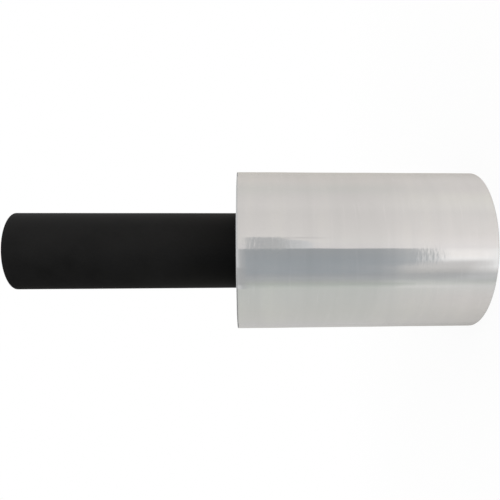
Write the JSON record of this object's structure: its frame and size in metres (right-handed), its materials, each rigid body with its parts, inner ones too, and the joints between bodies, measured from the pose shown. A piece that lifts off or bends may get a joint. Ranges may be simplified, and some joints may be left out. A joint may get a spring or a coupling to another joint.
{
  "type": "stretch wrap roll",
  "caption": "Hand roll of clear stretch wrap film wound on a long black plastic tube, whose bare length is the handle.",
  "frame": {"origin": "centre of the film's flat end that the roll stands on, at the level of that end", "axes": "+Z along the tube's axis, from the film's end up towards the handle; the free end of the film lies in the quarter between +Y and -X"},
  "size_m": [0.0664, 0.0664, 0.192],
  "materials": {
    "core": "extruded black polyethylene, plain and matt, with faint drawn lines along it",
    "film": "clear polyethylene film, wound tight in many turns, so that it looks silvery and glossy"
  },
  "bodies": {
    "root": {"core_tube": "core", "stretch_film": "film"}
  },
  "joints": []
}
